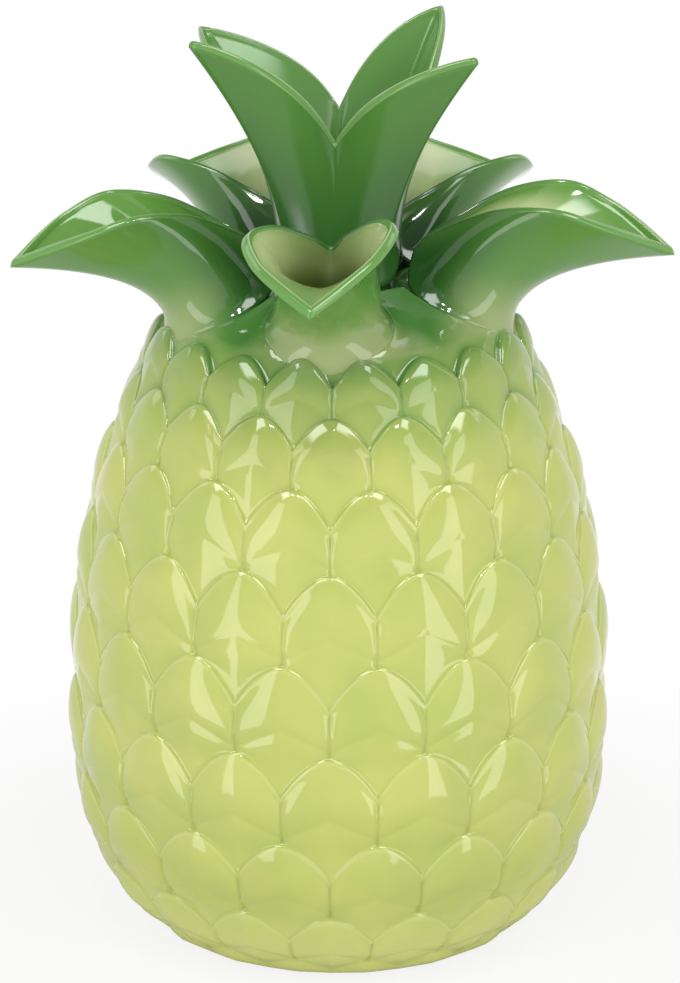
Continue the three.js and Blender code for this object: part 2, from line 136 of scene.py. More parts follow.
for kind, (x, y, z), aim, size, power in LAMPS:
    for side, name in ((-1, f"{kind} left"), (1, f"{kind} right")):
        lamp_data = bpy.data.lights.new(name, "AREA")
        lamp_data.shape = "RECTANGLE"
        lamp_data.size, lamp_data.size_y = size
        lamp_data.energy = power
        lamp = bpy.data.objects.new(name, lamp_data)
        bpy.context.scene.collection.objects.link(lamp)
        lamp.location = (side * x, y, z)
        ahead = Vector((0, 0, aim)) - lamp.location
        lamp.rotation_euler = ahead.to_track_quat("-Z", "Y").to_euler()


# Table top: matt white card that runs on into the white of the room. Only its middle, round
# the vase's foot, keeps a faint shadow.
TABLE_RADIUS = 300
TABLE_SIDES = 96
TABLE_GAP = 0.2  # below the foot
SHADOW_SHARE = 0.15
SHADOW_FADE = (150, 280)  # from the vase's axis
MIRRORED_FADE = (100, 290)  # the same for what the glaze mirrors of the card

table = bmesh.new()
bmesh.ops.create_circle(table, cap_ends=True, segments=TABLE_SIDES, radius=TABLE_RADIUS * MM)
mesh = bpy.data.meshes.new("table top")
table.to_mesh(mesh)
table.free()
mesh.transform(Matrix.Translation((0, 0, -TABLE_GAP * MM)))
table_top = bpy.data.objects.new("table_top", mesh)
bpy.context.scene.collection.objects.link(table_top)
card = bpy.data.materials.new("matt white card")
card.use_nodes = True
tree = card.node_tree
tree.nodes.clear()
place = add(tree, "ShaderNodeTexCoord")
far = add(tree, "ShaderNodeVectorMath", {0: place.outputs["Object"]}, operation="LENGTH")
rays = add(tree, "ShaderNodeLightPath")
matt_share = 1
for kind, most, (near, end) in (
    ("Is Glossy Ray", 1, MIRRORED_FADE),
    ("Is Camera Ray", SHADOW_SHARE, SHADOW_FADE),
):
    fade = {"Value": far.outputs["Value"], 1: near * MM, 2: end * MM, 3: most, 4: 0}
    kept = add(tree, "ShaderNodeMapRange", fade).outputs[0]
    sides = {0: rays.outputs[kind], 2: matt_share, 3: kept}
    matt_share = add(tree, "ShaderNodeMix", sides, data_type="FLOAT").outputs[0]
matt = add(tree, "ShaderNodeBsdfDiffuse", {"Color": linear("#f4f4f2")}).outputs[0]
white = add(tree, "ShaderNodeEmission", {"Color": linear("#ffffff"), "Strength": 1}).outputs[0]
surface = add(tree, "ShaderNodeMixShader", {0: matt_share, 1: white, 2: matt}).outputs[0]
add(tree, "ShaderNodeOutputMaterial", {"Surface": surface})
table_top.data.materials.append(card)


# Glaze: clear lead-free gloss over coloured slips, fired to a glassy skin about 0.3 mm thick.
# It is very smooth, but ripples a little, so that reflections have soft uneven edges.
GLAZE_IOR = 1.52
GLAZE_ROUGHNESS = 0.07
RIPPLE_LENGTH = 9
RIPPLE_DEPTH = 0.05


def fired_glaze(name, colour_of, roughness=GLAZE_ROUGHNESS):
    """A glazed surface whose colour comes from the nodes that colour_of adds."""
    material = bpy.data.materials.new(name)
    material.use_nodes = True
    tree = material.node_tree
    tree.nodes.clear()
    place = add(tree, "ShaderNodeTexCoord").outputs["Object"]
    waves = {"Vector": place, "Scale": 1 / (RIPPLE_LENGTH * MM), "Detail": 1}
    ripple = add(tree, "ShaderNodeTexNoise", waves).outputs[0]
    bump = add(tree, "ShaderNodeBump", {"Height": ripple, "Distance": RIPPLE_DEPTH * MM}).outputs[0]
    finish = {"Roughness": roughness, "IOR": GLAZE_IOR, "Normal": bump}
    finish["Base Color"] = colour_of(tree, place)
    shader = add(tree, "ShaderNodeBsdfPrincipled", finish)
    add(tree, "ShaderNodeOutputMaterial", {"Surface": shader.outputs[0]})
    return material


def coated(tree, colour, *coats):
    """A colour with coats of slip or glaze over it.

    A coat is its colour and its shares, which are multiplied. A share is a number, a socket or a
    fade. A fade is a mesh attribute or a socket, its values where the fade starts and ends, and
    the shares there if they aren't 0 and 1.
    """
    for coat, *shares in coats:
        cover = 1
        for share in shares:
            if isinstance(share, tuple):
                source, *ends = share
                if isinstance(source, str):
                    source = add(tree, "ShaderNodeAttribute", attribute_name=source).outputs["Fac"]
                fade = {"Value": source, **dict(enumerate(ends, 1))}
                ramp = add(tree, "ShaderNodeMapRange", fade, interpolation_type="SMOOTHSTEP")
                share = ramp.outputs[0]
            product = add(tree, "ShaderNodeMath", {0: cover, 1: share}, operation="MULTIPLY")
            cover = product.outputs[0]
        under, over = [linear(c) if isinstance(c, str) else c for c in (colour, coat)]
        mix = add(tree, "ShaderNodeMix", {0: cover, 6: under, 7: over}, data_type="RGBA")
        colour = mix.outputs[2]
    return colour


# Fruit: a hollow slip-cast body whose nine rows of overlapping scales are cast with it, and the
# smooth deck that closes its top. Each scale is a pad with an arched upper rim, a soft ridge down
# its middle and a ledge across its lower end, and tucks under the two scales below it.
BELLY_RADIUS = 100.2
BELLY_HEIGHT = 85
SHOULDER_RADIUS = 59.7
SHOULDER_HEIGHT = 236
UPPER_POWER = 2.2
FOOT_RADIUS = 66.5
LOWER_POWER = 2.6
FOOT_BEVEL = 1.5
DECK_RISE = 14
DECK_POWER = 2.3
DECK_TOP = SHOULDER_HEIGHT + DECK_RISE
SCALES_PER_ROW = 18
TIP_HEIGHTS = [234.2, 217.1, 193.8, 165.1, 132.4, 98.9, 65, 33.9, 9]
ROW_PITCHES = [above - below for above, below in zip(TIP_HEIGHTS, TIP_HEIGHTS[1:])]
SCALE_TURN = radians(-91.9)
ARCH_RISE = 0.45
LAST_ARCH_RISE = 0.2
ARCH_POWER = 1.9
BULGE = 2.9
BULGE_END = 1.1  # in rows, as the creases' places are
BULGE_LEAN = 0.75
BULGE_ROUND = 0.8
TOP_LIP = 2.4
PILLOW = 0.9
PILLOW_POWER = 1.6
GABLE = 0.8
GABLE_ROUND = 0.05
CREASE_START = 0.66
CREASE_END = 0.93
CREASE_DEPTH = 0.55
CREASE_ABOVE = 1.3
CREASE_BELOW = 2.8
SIDE_DEPTH = 1
SIDE_WIDTH = 3
SLOPE_START = 3  # how far below a scale's rim its slopes reach their full depth
RIM_SHADE = 0.7  # reach of the green under a scale's own rim
ROOT_SHADES = ((0.6, 1.2), (0.4, 5))  # strength and reach of the green above the next rims
SIDE_SHADE = 0.6
PAINTED_HIGHLIGHT_DROP = 1  # from a scale's edge to the painted highlight line on it
PAINTED_HIGHLIGHT_WIDTH = 0.8
SHOULDER_SHADE = 3  # power: more keeps the green nearer the tips
BASE_BULGE = 1.5
BASE_FALL = 0.6
FOOT_EDGE = (0.2, 0.5)  # out and up, from the foot's edge to the middle of its bevel
HALF_COLUMNS = 12
COLUMN_EASE = 0.35
PAD_RINGS = [0, 0.01, 0.025, 0.05, 0.085, 0.14, 0.22, 0.34, 0.5, 0.68, 0.85, 0.96]
SKIRT_RINGS = [0, 0.06, 0.14, 0.27, 0.47, 0.7, 0.88]
BASE_RINGS = [0.1, 0.2, 0.35, 0.5, 0.7, 0.85]
DECK_RINGS = 34
SHOULDER_RINGS = 4
CROWN_PORT = 14.5
MERGE = 1e-4  # corners closer than this are one


def oval_span(height, radius, power):
    """Height of a squared oval above its widest place, from one radius further up."""
    return height / (1 - (radius / BELLY_RADIUS) ** power) ** (1 / power)


UPPER_SPAN = oval_span(SHOULDER_HEIGHT - BELLY_HEIGHT, SHOULDER_RADIUS, UPPER_POWER)
LOWER_SPAN = oval_span(BELLY_HEIGHT, FOOT_RADIUS, LOWER_POWER)


def fruit_radius(z):
    """Outer radius of the smooth fruit: a squared oval above its belly and another below."""
    upper = z > BELLY_HEIGHT
    power = UPPER_POWER if upper else LOWER_POWER
    share = abs(z - BELLY_HEIGHT) / (UPPER_SPAN if upper else LOWER_SPAN)
    return BELLY_RADIUS * max(1 - share**power, 0) ** (1 / power)


def deck_height(radius):
    """Height of the deck at a distance from the axis."""
    return DECK_TOP - DECK_RISE * (radius / SHOULDER_RADIUS) ** DECK_POWER


def polar(radius, angle, z):
    """Point at a distance and an angle round the axis."""
    return Vector((radius * cos(angle), radius * sin(angle), z))


def row_pitch(row):
    """Height from a row's tips down to the next row's."""
    return ROW_PITCHES[min(max(row, 0), len(ROW_PITCHES) - 1)]


def row_height(place):
    """Height of a place between the rows: 0 is the top row's tips, 1 the next row's."""
    row = min(max(int(place), 0), len(TIP_HEIGHTS) - 2)
    return TIP_HEIGHTS[row] - (place - row) * row_pitch(row)


def from_tip(row, angle):
    """Distance round from a row's nearest tip: 0 at a tip, 1 midway between two."""
    place = (angle - SCALE_TURN) * SCALES_PER_ROW / tau - (0 if row % 2 else 0.5)
    return 2 * abs(place - round(place))


def arch(row, side):
    """Place of a scale's arched upper rim, at a distance round from its tip."""
    rise = LAST_ARCH_RISE if row == len(TIP_HEIGHTS) - 1 else ARCH_RISE
    return row + rise * side**ARCH_POWER


def scale_relief(row, place, side):
    """Height of a scale above its grooves, how far a place is a groove, and how far it lies on the
    painted highlight line inside its rim.
    """
    pitch = row_pitch(row)
    top = arch(row, side)
    lower = arch(row + 1, 1 - side)
    below = (place - top) * pitch
    share = min(max((place - top) / (row + BULGE_END - top), 0), 1)
    dome = max(sin(pi * share**BULGE_LEAN), 0) ** BULGE_ROUND
    height = BULGE * sqrt(pitch / max(ROW_PITCHES)) * dome
    if row == 0:
        height += TOP_LIP * (1 - exp(-below)) * exp(-below / pitch)
    crease = row + CREASE_START + (CREASE_END - CREASE_START) * side
    past = (place - crease) * pitch
    fold = CREASE_DEPTH * exp(-((past / (CREASE_BELOW if past > 0 else CREASE_ABOVE)) ** 2))
    half_width = pi * fruit_radius(row_height(place)) / SCALES_PER_ROW
    close = max(1 - (1 - side) * half_width / SIDE_WIDTH, 0)
    groove = 1 - sqrt(1 - close * close)
    slopes = PILLOW * side**PILLOW_POWER + GABLE * (hypot(side, GABLE_ROUND) - GABLE_ROUND)
    height -= (slopes + SIDE_DEPTH * groove + fold) * min(below / SLOPE_START, 1)
    above = (lower - place) * pitch
    shade = exp(-below / RIM_SHADE) + SIDE_SHADE * groove**2
    for strength, reach in ROOT_SHADES:
        shade += strength * exp(-above / reach)
    # painted highlight: a pale line just inside each scale's rim, where its rounded edge catches the
    # light
    rim = exp(-(((below - PAINTED_HIGHLIGHT_DROP) / PAINTED_HIGHLIGHT_WIDTH) ** 2))
    return height, min(shade, 1), rim


def wrapped_grid(columns, rings, place, tones):
    """A grid wrapped round the axis: each corner goes where place says, with its tones.

    Its faces point outwards where the columns run anticlockwise and the rings upwards.
    """
    skin = bmesh.new()
    layers = [skin.verts.layers.float.new(name) for name in tones]
    bmesh.ops.create_grid(skin, x_segments=columns, y_segments=rings, size=0.5)
    for vert in skin.verts:
        column = round((vert.co.x + 0.5) * columns) % columns
        ring = round((vert.co.y + 0.5) * rings)
        vert.co, values = place(column, ring)
        for layer, value in zip(layers, values):
            vert[layer] = value
    bmesh.ops.remove_doubles(skin, verts=skin.verts, dist=MERGE)
    return skin


def fruit_rings():
    """Every ring of the fruit's outer skin, from the foot's middle up to the crown's port."""
    deck = SHOULDER_RADIUS - CROWN_PORT
    rings = [("deck", CROWN_PORT + deck * k / DECK_RINGS) for k in range(DECK_RINGS)]
    rings += [("shoulder", k / SHOULDER_RINGS) for k in range(SHOULDER_RINGS)]
    last = len(TIP_HEIGHTS) - 1
    for row in range(last):
        rings += [("pad", row, share) for share in PAD_RINGS]
        rings += [("skirt", row, share) for share in SKIRT_RINGS]
    rings.append(("pad", last, 0))
    rings += [("base", share) for share in BASE_RINGS]
    out, up = FOOT_EDGE
    flat = (FOOT_RADIUS - FOOT_BEVEL, FOOT_RADIUS / 2, 0)
    rings += [("foot", FOOT_RADIUS + out, up)] + [("foot", radius, 0) for radius in flat]
    return rings[::-1]


FRUIT_RINGS = fruit_rings()
FRUIT_COLUMNS = 2 * SCALES_PER_ROW * HALF_COLUMNS


def column_angle(column):
    """Columns lie closer at the scales' middles and sides than between them."""
    half, step = divmod(column, HALF_COLUMNS)
    share = step / HALF_COLUMNS
    share -= COLUMN_EASE * sin(tau * share) / tau
    return SCALE_TURN + (half + share) * pi / SCALES_PER_ROW


def fruit_place(column, ring):
    """A corner of the smooth fruit, with its relief, groove and painted highlight line."""
    angle = column_angle(column)
    kind, *values = FRUIT_RINGS[ring]
    if kind == "deck":
        return polar(values[0], angle, deck_height(values[0])), (0, 0, 0)
    if kind == "foot":
        return polar(values[0], angle, values[1]), (0, 0, 0)
    if kind == "shoulder":
        arch_height = row_height(arch(0, from_tip(0, angle)))
        z = SHOULDER_HEIGHT + (arch_height - SHOULDER_HEIGHT) * values[0]
        return polar(fruit_radius(z), angle, z), (0, values[0] ** SHOULDER_SHADE, 0)
    last = len(TIP_HEIGHTS) - 1
    if kind == "base":
        side = from_tip(last, angle)
        z = row_height(arch(last, side)) * (1 - values[0]) + FOOT_BEVEL * values[0]
        bulge = BASE_BULGE * sin(pi * values[0]) * (1 - BASE_FALL * side)
        return polar(fruit_radius(z), angle, z), (bulge, 0, 0)
    row, share = values
    side = from_tip(row, angle)
    top = arch(row, side)
    if row == last:
        z = row_height(top)
        return polar(fruit_radius(z), angle, z), (0, 1, 0)
    crease = row + CREASE_START + (CREASE_END - CREASE_START) * side
    if kind == "pad":
        place = top + share * (crease - top)
    else:
        place = crease + share * (arch(row + 1, 1 - side) - crease)
    z = row_height(place)
    return polar(fruit_radius(z), angle, z), scale_relief(row, place, side)


# the third tone places a painted highlight line, the fifth painted shade between the parts
FRUIT_TONES = ("relief", "groove", "rim", "joint", "valley_shade_and_spray")
fruit = wrapped_grid(FRUIT_COLUMNS, len(FRUIT_RINGS) - 1, fruit_place, FRUIT_TONES)

# Its colours are yellow-green slip, a little yellower in patches, with a painted highlight as a pale
# line inside each scale's rim and painted light that makes the foot paler. Leaf green is sprayed
# over the shoulder and left in the grooves, and the darker green between the spouts' roots is partly
# sprayed and partly painted shade
PATCH_SIZE = 28
PATCH_RANGE = (0.35, 0.65)
DRIFT_SIZE = 20
DRIFT_HEIGHT = 16  # how far the spray's edge wanders up and down
# painted light: the foot is made paler to lift the shade that falls on it
PAINTED_LIGHT_FOOT = (45, 12)  # heights between which each coat grows to its full strength
SPRAY = (196, 246)
SPRAYED_TIPS = (228, 246)
DECK_COAT = (232, 238)
BELOW_DECK = (238, 234)
ROOT_COLOUR_WITH_SHADE = ("#a6b677", ("#579043", ("valley_shade_and_spray", 0.12, 0.58)))  # green in the valleys between roots, partly sprayed and partly painted shade


def fruit_colour(tree, place):
    """Patches, grooves, rims' painted highlight, foot's painted light, spray, deck and joints with
    painted shade, and the tips of the top row.
    """
    height = add(tree, "ShaderNodeSeparateXYZ", {0: place}).outputs["Z"]
    patches, drift = [
        add(tree, "ShaderNodeTexNoise", {"Vector": place, "Scale": 1 / (size * MM), "Detail": 2})
        for size in (PATCH_SIZE, DRIFT_SIZE)
    ]
    low, high = PATCH_RANGE
    patch = add(tree, "ShaderNodeMapRange", {"Value": patches.outputs[0], 1: low, 2: high})
    wander = {0: drift.outputs[0], 1: DRIFT_HEIGHT * MM, 2: height}
    drifted = add(tree, "ShaderNodeMath", wander, operation="MULTIPLY_ADD").outputs[0]
    spray, tips = [(drifted, low * MM, high * MM) for low, high in (SPRAY, SPRAYED_TIPS)]
    foot, deck, below_deck = [
        (height, start * MM, end * MM) for start, end in (PAINTED_LIGHT_FOOT, DECK_COAT, BELOW_DECK)
    ]
    # pale root colour that turns to a darker green, partly painted shade, near the other parts
    root = coated(tree, *ROOT_COLOUR_WITH_SHADE)
    return coated(
        tree,
        "#becc6b",
        ("#cdd272", patch.outputs[0]),
        ("#a3b94c", ("groove", 0, 1, 0, 0.3)),
        # painted highlight: the pale line inside the scales' rims
        ("#dde095", ("rim", 0, 1, 0, 0.35)),
        # painted light that makes the foot paler
        ("#dbe08a", foot, 0.8),
        ("#5f9140", spray, ("groove", 0, 1, 0.52, 1)),
        (root, deck),
        (root, ("joint", 0.5, 1)),
        ("#5c9446", tips, below_deck, 0.5),
    )


fruit_glaze = fired_glaze("yellow-green fruit glaze", fruit_colour)


# Leaf spouts: five short slip-cast necks that open into a leaf-shaped mouth, luted to the deck
# round the crown. They are set and bent by hand, so no two stand quite alike.
FRONT = -90
# Turn is in degrees and roll in mm of rise per mm aside. Thick is the lip's least thickness,
# from 0 to 1, and spray is how much further the green reaches down the throat, pushing the
# throat's painted shade deeper
SPOUTS = {
    "front": dict(turn=-4.4, lift=3.9, reach=-0.6, widen=2, roll=0.08, thick=0.55, spray=-0.1),
    "right": dict(turn=8.9, lift=-0.2, reach=-1.3, widen=0, roll=0, thick=0, spray=0.07),
    "back_right": dict(turn=1, lift=0, reach=-0.1, widen=0, roll=0.035, thick=0, spray=-0.1),
    "back_left": dict(turn=-1, lift=0.7, reach=-3, widen=0, roll=-0.045, thick=0, spray=-0.1),
    "left": dict(turn=-2.6, lift=-1.4, reach=-2.3, widen=0, roll=0.025, thick=0, spray=0.4),
}
SPOUT_WALL = 4.5
NECK_SIDE_WALL = 3.6
CROWN_RADIUS = 22
ROOT_GAP = 3  # between the crown and a spout's root
ROOT_OVERHANG = 3.3  # of a root past the shoulder
NECK_CENTRE = (CROWN_RADIUS + ROOT_GAP + SHOULDER_RADIUS + ROOT_OVERHANG) / 2
NECK_BASE = deck_height(NECK_CENTRE)
ROOT_DEPTH = NECK_CENTRE - CROWN_RADIUS - ROOT_GAP
ROOT_HALF_WIDTH = 24
ROOT_SINK = 6
PLUG_DEPTH = 30  # of a plug, the closed form that the other skins meet, below its root
PLUG_TAPER = 0.5
SPOUT_BORE = ROOT_DEPTH - SPOUT_WALL
NECK_DEPTH = ROOT_DEPTH - 1
NECK_HALF_WIDTH = 14
NECK_RISE = 10.9
NECK_TILT = 3
TIP_REACH = NECK_CENTRE + 79.7
TIP_RISE = 24.1
LOBE_REACH = NECK_CENTRE + 39
LOBE_HALF_WIDTH = 23.8
LOBE_RISE = 41.3
DIP_REACH = CROWN_RADIUS + 10.4
DIP_RISE = 23.2
TIP_GROW = 0.5
TIP_FILL = 1.3
FLARE_OUT = 0.38
FLARE_UP = 0.62
FLARE_LEAN = 0.12
LIP_EDGE = 1.35  # how far a lip's outer edge lies beyond its drawn line
# A lip's section: inset of its crest, drop outside, inset of its inner edge and drop inside
LIP_THIN = (0.5, 1.2, 1.7, 1.5)
LIP_THICK = (2, 3.8, 3.4, 2)  # at a leaf's tip
LIP_CRISP = 1.3  # 1 is an oval section, more has a crisper crest
TIP_SPAN = 0.6  # share of the way to the dip over which the lip grows thin
TIP_NARROW = 0.09  # how much steeper than its outside the inside rises below a tip
THROAT_RISE = 11  # and how much higher it starts
# Points of half a lip as shares: along from the lobe, aside, and down from the lobe's height
LIP_FROM_TIP = [(1, 0, 1), (0.72, 0.46, 0.64), (0.42, 0.82, 0.32), (0, 1, 0)]
LIP_TO_DIP = [(0.42, 0.715, 0.13), (0.8, 0.24, 0.65), (1, 0, 1)]
SPOUT_COLUMNS = 128
SKIN_RINGS = 54
RING_EASE = 1.35
LIP_RINGS = 14


def lip_corners():
    """Chosen points of half a lip, from its tip over the widest place to the dip."""
    corners = []
    halves = ((LIP_FROM_TIP, TIP_REACH, TIP_RISE), (LIP_TO_DIP, DIP_REACH, DIP_RISE))
    for points, reach, rise in halves:
        for along, wide, drop in points:
            corners.append(Vector((
                LOBE_REACH + along * (reach - LOBE_REACH),
                wide * LOBE_HALF_WIDTH,
                NECK_BASE + LOBE_RISE - drop * (LOBE_RISE - rise),
            )))
    return corners


LIP_CORNERS = lip_corners()


def lip_crest(half):
    """Point of half a lip's crest, on a smooth curve through its corners."""
    spans = len(LIP_CORNERS) - 1
    k = min(int(half * spans), spans - 1)
    t = half * spans - k
    b, c = LIP_CORNERS[k], LIP_CORNERS[k + 1]
    a = LIP_CORNERS[k - 1] if k > 0 else 2 * b - c
    d = LIP_CORNERS[k + 2] if k + 2 <= spans else Vector((b.x, -b.y, b.z))
    start = (c - a) / 2
    end = (d - b) / 2
    return (
        b
        + start * t
        + (3 * (c - b) - 2 * start - end) * t**2
        + (2 * (b - c) + start + end) * t**3
    )


def lip_point(spout, angle, grow, lower):
    """Point of a lip at an angle round the spout, grown sideways and lowered."""
    half = angle / pi if angle <= pi else 2 - angle / pi
    point = lip_crest(half)
    middle = (TIP_REACH + DIP_REACH) / 2
    length = (TIP_REACH - DIP_REACH) / 2
    lengthen = grow * (TIP_GROW if grow > 0 else TIP_FILL)
    point.x = middle + (point.x - middle) * (1 + lengthen / length) + spout["reach"]
    point.y *= (1 + (grow + spout["widen"]) / LOBE_HALF_WIDTH) * (1 if angle <= pi else -1)
    point.z += spout["lift"] - lower + spout["roll"] * point.y
    return point


def smooth(share):
    """An even rise from 0 to 1 with soft ends."""
    share = min(max(share, 0), 1)
    return share * share * (3 - 2 * share)


def lip_thickness(spout, angle):
    """1 at a leaf's tip, less towards its lobes and dip."""
    half = angle / pi if angle <= pi else 2 - angle / pi
    return max(smooth(1 - half / TIP_SPAN), spout["thick"])


def lip_section(thickness, turn):
    """Sideways growth and drop of a lip's section, from its outer edge over its crest inwards."""
    crest, drop, inset, fall = [a + (b - a) * thickness for a, b in zip(LIP_THIN, LIP_THICK)]
    across = abs(cos(turn)) ** LIP_CRISP
    down = 1 - sin(turn) ** LIP_CRISP if 0 < turn < pi else 1
    if turn < pi / 2:
        return (LIP_EDGE + crest) * across - crest, drop * down
    return -(inset - crest) * across - crest, fall * down


def bezier(a, b, c, d, t):
    """Point of a smooth curve from a to d that b and c pull aside."""
    s = 1 - t
    return s * s * s * a + 3 * s * s * t * b + 3 * s * t * t * c + t * t * t * d


def spout_skin(spout, inner, angle, share):
    """Point of a spout's outer or inner skin at an angle round it and a share of its height."""
    wall = SPOUT_WALL if inner else 0
    side, front = sin(angle), cos(angle)
    section = lip_section(lip_thickness(spout, angle), pi if inner else 0)
    lip = lip_point(spout, angle, *section)
    root = Vector((
        NECK_CENTRE + (SPOUT_BORE if inner else ROOT_DEPTH) * front,
        (SPOUT_BORE if inner else ROOT_HALF_WIDTH) * side,
        0,
    ))
    root.z = deck_height(root.length) - ROOT_SINK
    neck = Vector((
        NECK_CENTRE + (NECK_DEPTH - wall) * front,
        (NECK_HALF_WIDTH - (NECK_SIDE_WALL if inner else 0)) * side,
        NECK_BASE + NECK_RISE - NECK_TILT * front,
    ))
    out = FLARE_OUT
    rise = FLARE_UP + FLARE_LEAN * front
    aim = lip.copy()
    if inner and front > 0:
        out -= TIP_NARROW * front
        neck.z += THROAT_RISE * (1 - abs(side))
        aim.x = LOBE_REACH + (TIP_REACH - LOBE_REACH) * front + spout["reach"]
        aim.z = NECK_BASE + LOBE_RISE - (LOBE_RISE - TIP_RISE) * front + spout["lift"]
    flare = Vector((
        neck.x + out * (aim.x - neck.x),
        neck.y + FLARE_OUT * (aim.y - neck.y),
        neck.z + rise * (aim.z - neck.z) + wall * max(front, 0),
    ))
    return bezier(root, neck, flare, lip, share)


def sock_ring(ring):
    """Part of a sock-like skin at a ring: up the outside, over the lip and down the inside."""
    if ring <= SKIN_RINGS:
        return "outer", (ring / SKIN_RINGS) ** RING_EASE
    if ring < SKIN_RINGS + LIP_RINGS:
        return "lip", pi * (ring - SKIN_RINGS) / LIP_RINGS
    if ring <= 2 * SKIN_RINGS + LIP_RINGS:
        return "inner", (1 - (ring - SKIN_RINGS - LIP_RINGS) / SKIN_RINGS) ** RING_EASE
    return "outer", 0


SOCK_RINGS = 2 * SKIN_RINGS + LIP_RINGS + 1
# the last tone is painted shade near the other parts
SPOUT_TONES = ("inside", "along", "rim", "outward", "joint", "valley_shade_and_spray")


def turned(point, heading):
    """A spout's point, drawn ahead along x, turned to the spout's heading."""
    return polar(point.x, heading, point.z) + polar(point.y, heading + pi / 2, 0)


def make_spout(spout, heading):
    """A spout's skin, outside and inside, with its lip between."""
    def place(column, ring):
        angle = tau * column / SPOUT_COLUMNS
        kind, value = sock_ring(ring)
        inner = kind == "inner"
        if kind == "lip":
            point = lip_point(spout, angle, *lip_section(lip_thickness(spout, angle), value))
            return turned(point, heading), (value / pi, 1, 1, cos(angle))
        along = value + (spout["spray"] if inner else 0)
        point = spout_skin(spout, inner, angle, value)
        return turned(point, heading), (1 if inner else 0, along, 0, cos(angle))

    return wrapped_grid(SPOUT_COLUMNS, SOCK_RINGS, place, SPOUT_TONES)


def spout_plug(spout, heading):
    """A spout's outer skin, drawn in and carried on below the deck."""
    def place(column, ring):
        angle = tau * column / SPOUT_COLUMNS
        point = spout_skin(spout, False, angle, max(ring - 1, 0) / SKIN_RINGS)
        if ring == 0:
            point.x = NECK_CENTRE + (point.x - NECK_CENTRE) * PLUG_TAPER
            point.y *= PLUG_TAPER
            point.z -= PLUG_DEPTH
        return turned(point, heading), ()

    return wrapped_grid(SPOUT_COLUMNS, SKIN_RINGS + 1, place, ())


def azimuth(first, turns, k):
    """Heading of one of several leaves that stand evenly round, but for their own turns."""
    return radians(first + 360 / len(turns) * k + turns[k % len(turns)])


spout_turns = [spout["turn"] for spout in SPOUTS.values()]
spout_headings = {name: azimuth(FRONT, spout_turns, k) for k, name in enumerate(SPOUTS)}
spouts = {name: make_spout(SPOUTS[name], spout_headings[name]) for name in SPOUTS}

# Their colours are pale at the root and leaf green on the leaf, with painted shade that darkens them
# towards the crown and between the roots. Inside they are pale yellow-green, painted paler still as
# light, and darken down the throat as painted shade
CREST_HIGHLIGHT = (("inside", 0.38, 0.5), ("inside", 0.62, 0.5))  # a painted highlight along a lip's crest


def spout_colour(tree, place):
    """Outside, inside and lip, with painted shade and light, and a painted highlight on the crest.
    """
    outer = coated(
        tree,
        coated(tree, *ROOT_COLOUR_WITH_SHADE),
        ("#639843", ("along", 0.1, 0.55)),
        # painted shade on the side of each spout that faces the crown
        ("#2e6028", ("outward", 0.6, -0.7), ("along", 0.5, 1, 0.95, 0.5)),
    )
    inner = coated(
        tree,
        # painted shade darkens the throat, and the pale yellow-green above it is made paler still as
        # painted light
        "#7f8f3b",
        ("#e0edb2", ("along", 0.2, 0.6)),
        ("#76ac50", ("along", 0.8, 1.05)),
        ("#76ac50", ("outward", 0.3, 1, 0, 0.7)),
    )
    # the lip is darker on its side towards the crown, as painted shade
    rim = coated(tree, "#73aa51", ("#457a35", ("outward", 0.1, -0.8)))
    return coated(
        tree,
        outer,
        (inner, ("inside", 0.5, 0.9)),
        (rim, ("rim", 0.2, 1, 0, 0.75)),
        # painted highlight along the lip's crest
        ("#d5ebb4", *CREST_HIGHLIGHT, ("outward", -0.5, 0.2, 0, 0.8)),
    )


leaf_glaze = fired_glaze("leaf-green glaze", spout_colour)


# Leaf crown: a slip-cast tube in the middle of the deck that opens into four long leaves, the
# highest part of the vase, each bent outwards a little differently.
FIRST_LEAF = -45
LEAF_REACH = 66
LEAF_RISE = 90
LEAVES = [  # each leaf's turn in degrees, reach and lift
    (2.2, 0, 0.5),
    (3.8, -7, 2.5),
    (-4.9, 15.6, -8.7),
    (-6.9, 0, 5.6),
]
CROWN_WALL = 4.5
NOTCH_RADIUS = CROWN_RADIUS + 8.2
NOTCH_RISE = 57.2
LEAF_SWEEP = 1.6
LEAF_DROP = 1.3
TUBE_SHARE = 0.36
KEEL_STRAIGHT = 0.03
KEEL_SWELL = 1.5
LEAF_SWELL = 0.35
KEEL_LEAN = 0.1
LEAF_THICKNESS = 0.3  # of its lip, between the spouts' thinnest and thickest
LEAF_COLUMNS = 60


def crown_lip(leaf, away, offset, lower):
    """Radius and height of the crown's lip, grown sideways and lowered."""
    _, reach, lift = leaf
    notch = NOTCH_RADIUS + offset
    tip = LEAF_REACH + reach + offset * (TIP_GROW if offset > 0 else TIP_FILL)
    rise = LEAF_RISE + lift
    radius = notch + (tip - notch) * (1 - away) ** LEAF_SWEEP
    return radius, DECK_TOP + rise - (rise - NOTCH_RISE) * away**LEAF_DROP - lower


def crown_column(column):
    """Leaf at a column, its distance from the leaf's keel (0) to the notch (1), and angle."""
    turns = [turn for turn, _, _ in LEAVES]
    k, step = divmod(column, LEAF_COLUMNS)
    away = -1 + 2 * step / LEAF_COLUMNS
    keel = azimuth(FIRST_LEAF, turns, k)
    neighbour = k + 1 if away > 0 else k - 1
    spread = abs(azimuth(FIRST_LEAF, turns, neighbour) - keel) / 2
    return LEAVES[k], abs(away), keel + away * spread


